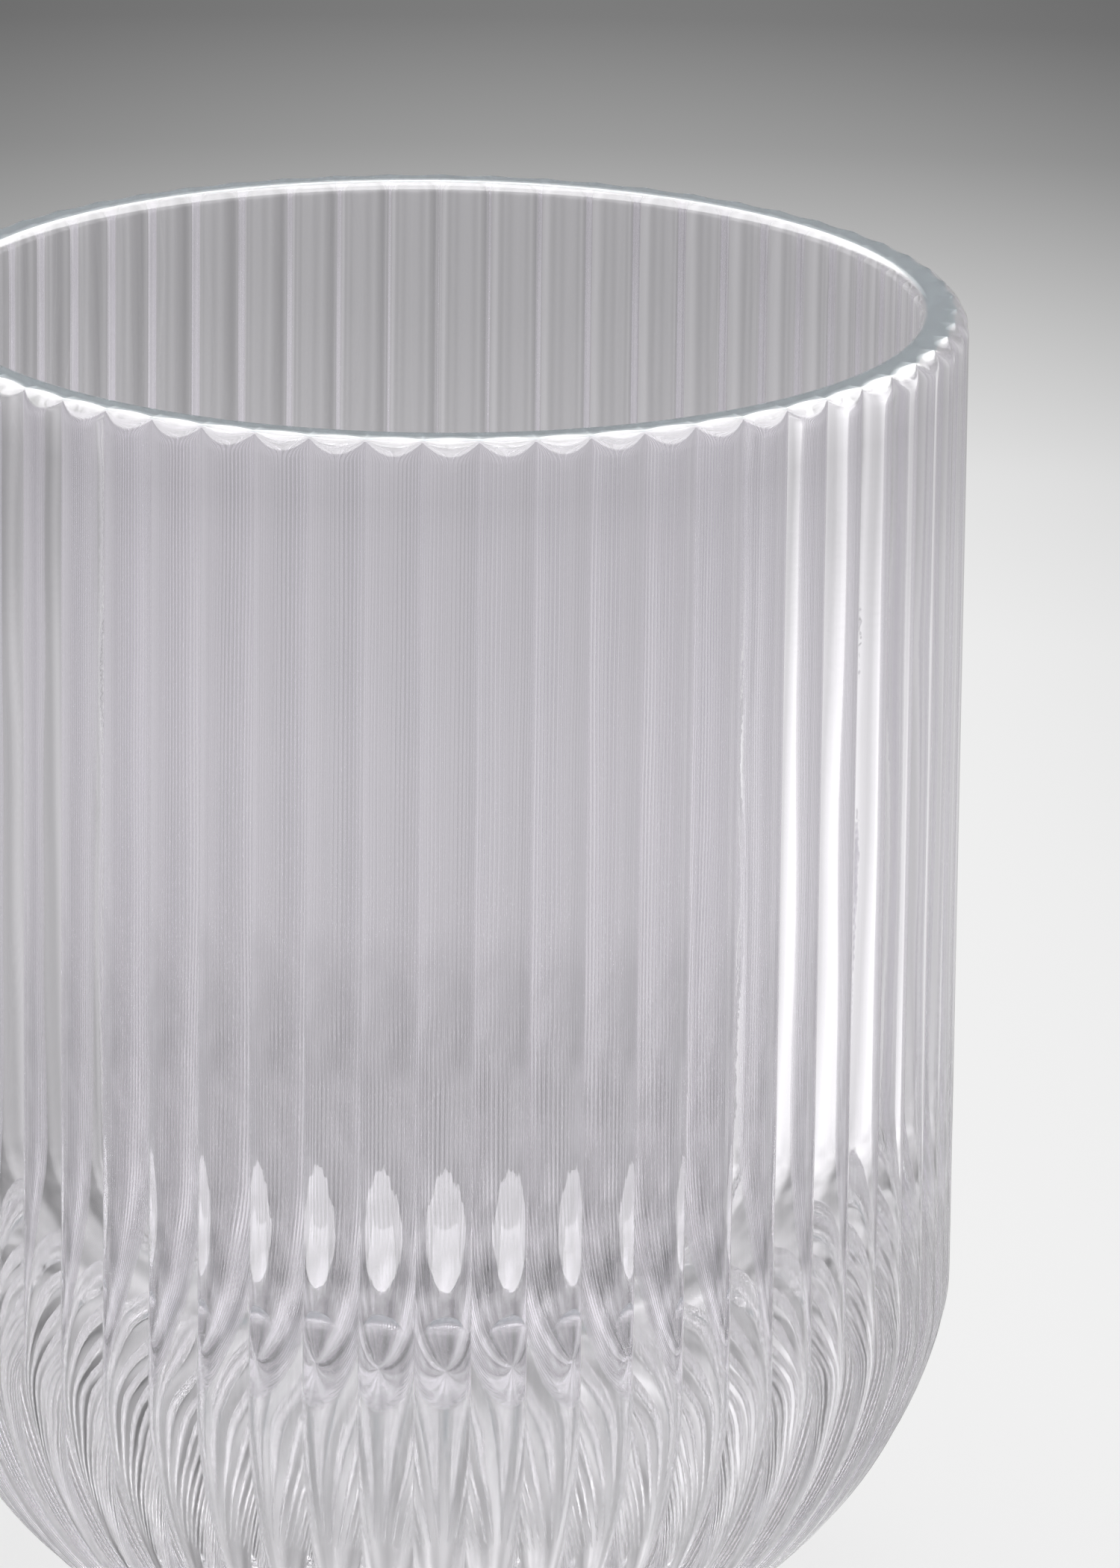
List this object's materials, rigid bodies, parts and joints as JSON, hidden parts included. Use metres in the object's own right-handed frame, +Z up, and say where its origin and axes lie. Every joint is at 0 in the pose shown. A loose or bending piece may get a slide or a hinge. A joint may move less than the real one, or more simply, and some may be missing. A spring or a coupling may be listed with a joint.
{
  "type": "drinking glass",
  "caption": "Clear pressed-glass tumbler: straight wall with convex vertical reeds outside, smooth inside, rounded rim, body curving in to a flat base.",
  "frame": {"origin": "centre of the resting face", "axes": "+Z up the axis of the glass, out of its mouth; a reed is centred on +X"},
  "size_m": [0.08, 0.08, 0.102],
  "materials": {
    "glass": "clear, fire-polished, very faint cool grey tint"
  },
  "bodies": {
    "root": {"tumbler": "glass"}
  },
  "joints": []
}
